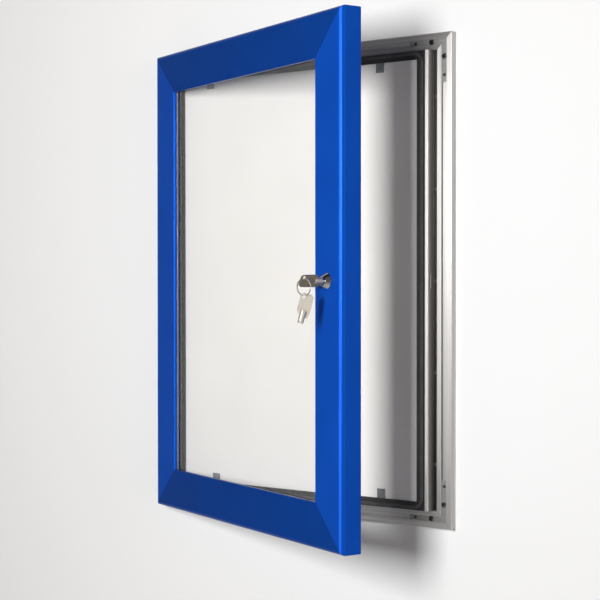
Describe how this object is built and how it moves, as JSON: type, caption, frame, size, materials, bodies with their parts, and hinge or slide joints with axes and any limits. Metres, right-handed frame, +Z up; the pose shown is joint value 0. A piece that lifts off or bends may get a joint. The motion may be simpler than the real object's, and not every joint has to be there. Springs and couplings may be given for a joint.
{
  "type": "lockable notice board",
  "caption": "Wall-mounted glazed notice board for one poster, with a side-hung lockable door that stands open and its keys in the lock.",
  "frame": {"origin": "middle of the wall frame's width and height, on its rear face, which lies on the wall", "axes": "+Z up, +X to the right as seen from the front, -Y out of the wall towards the viewer; the door hangs at -X"},
  "size_m": [0.4958, 0.2415, 0.67],
  "materials": {
    "blue_powder_coat": "satin blue powder coat on the door extrusions",
    "satin_anodised_aluminium": "fine-brushed, satin anodised",
    "white_laminate": "satin white sheet",
    "black_rubber": "extruded seal rubber, matt",
    "clear_acrylic": "clear polished sheet",
    "clip_plastic": "smoky translucent moulding",
    "bright_chrome": "polished chrome plate",
    "nickel_plate": "tumbled nickel plate",
    "zinc_plate": "bright zinc plate"
  },
  "bodies": {
    "frame": {"frame_rail_bottom": "satin_anodised_aluminium", "frame_rail_right": "satin_anodised_aluminium", "frame_rail_top": "satin_anodised_aluminium", "frame_rail_left": "satin_anodised_aluminium", "frame_corner_key_bottom_left": "zinc_plate", "frame_corner_key_bottom_right": "zinc_plate", "frame_corner_key_top_right": "zinc_plate", "frame_corner_key_top_left": "zinc_plate", "grub_screw_bottom_left_1": "zinc_plate", "grub_screw_bottom_left_2": "zinc_plate", "grub_screw_bottom_right_1": "zinc_plate", "grub_screw_bottom_right_2": "zinc_plate", "grub_screw_top_right_1": "zinc_plate", "grub_screw_top_right_2": "zinc_plate", "grub_screw_top_left_1": "zinc_plate", "grub_screw_top_left_2": "zinc_plate", "lock_strip": "satin_anodised_aluminium", "back_panel": "white_laminate", "seal": "black_rubber", "poster_clip_top_left": "clip_plastic", "poster_clip_top_right": "clip_plastic", "poster_clip_bottom_left": "clip_plastic", "poster_clip_bottom_right": "clip_plastic", "hinge_upper_frame_leaf": "zinc_plate", "hinge_upper_pin": "zinc_plate", "hinge_lower_frame_leaf": "zinc_plate", "hinge_lower_pin": "zinc_plate"},
    "door": {"door_rail_bottom": "blue_powder_coat", "door_rail_right": "blue_powder_coat", "door_rail_top": "blue_powder_coat", "door_rail_left": "blue_powder_coat", "door_corner_key_bottom_left": "zinc_plate", "door_corner_key_bottom_right": "zinc_plate", "door_corner_key_top_right": "zinc_plate", "door_corner_key_top_left": "zinc_plate", "glazing": "clear_acrylic", "glazing_bead_bottom": "satin_anodised_aluminium", "glazing_bead_right": "satin_anodised_aluminium", "glazing_bead_top": "satin_anodised_aluminium", "glazing_bead_left": "satin_anodised_aluminium", "hinge_upper_door_leaf": "zinc_plate", "hinge_lower_door_leaf": "zinc_plate", "lock_collar": "bright_chrome", "lock_body": "bright_chrome", "lock_nut": "zinc_plate"},
    "lock_plug": {"lock_plug": "bright_chrome", "lock_cam": "zinc_plate", "cam_screw": "zinc_plate"},
    "key": {"key_bow": "nickel_plate", "key_tube": "nickel_plate"},
    "key_ring": {"key_ring": "nickel_plate"},
    "spare_key": {"spare_key_bow": "nickel_plate", "spare_key_tube": "nickel_plate"}
  },
  "joints": [
    {"name": "door_hinge", "type": "hinge", "parent": "frame", "child": "door", "pos_m": [-0.2436, -0.0054, 0], "axis": [0, 0, -1], "range_deg": [-21.8, 68.2]},
    {"name": "lock_turn", "type": "hinge", "parent": "door", "child": "lock_plug", "pos_m": [0.18532, -0.17114, 0], "axis": [-0.3714, -0.9285, 0], "range_deg": [0, 90]},
    {"name": "key_slide", "type": "slide", "parent": "lock_plug", "child": "key", "axis": [-0.3714, -0.9285, 0], "range_m": [0, 0.012]},
    {"name": "ring_swing", "type": "hinge", "parent": "key", "child": "key_ring", "pos_m": [0.16221, -0.23406, 0.00329], "axis": [-0.9976, 0.0698, 0], "range_deg": [-25, 80]},
    {"name": "spare_key_swing", "type": "hinge", "parent": "key_ring", "child": "spare_key", "pos_m": [0.16221, -0.23406, -0.01811], "axis": [0.9976, -0.0698, 0], "range_deg": [-25, 45]}
  ]
}
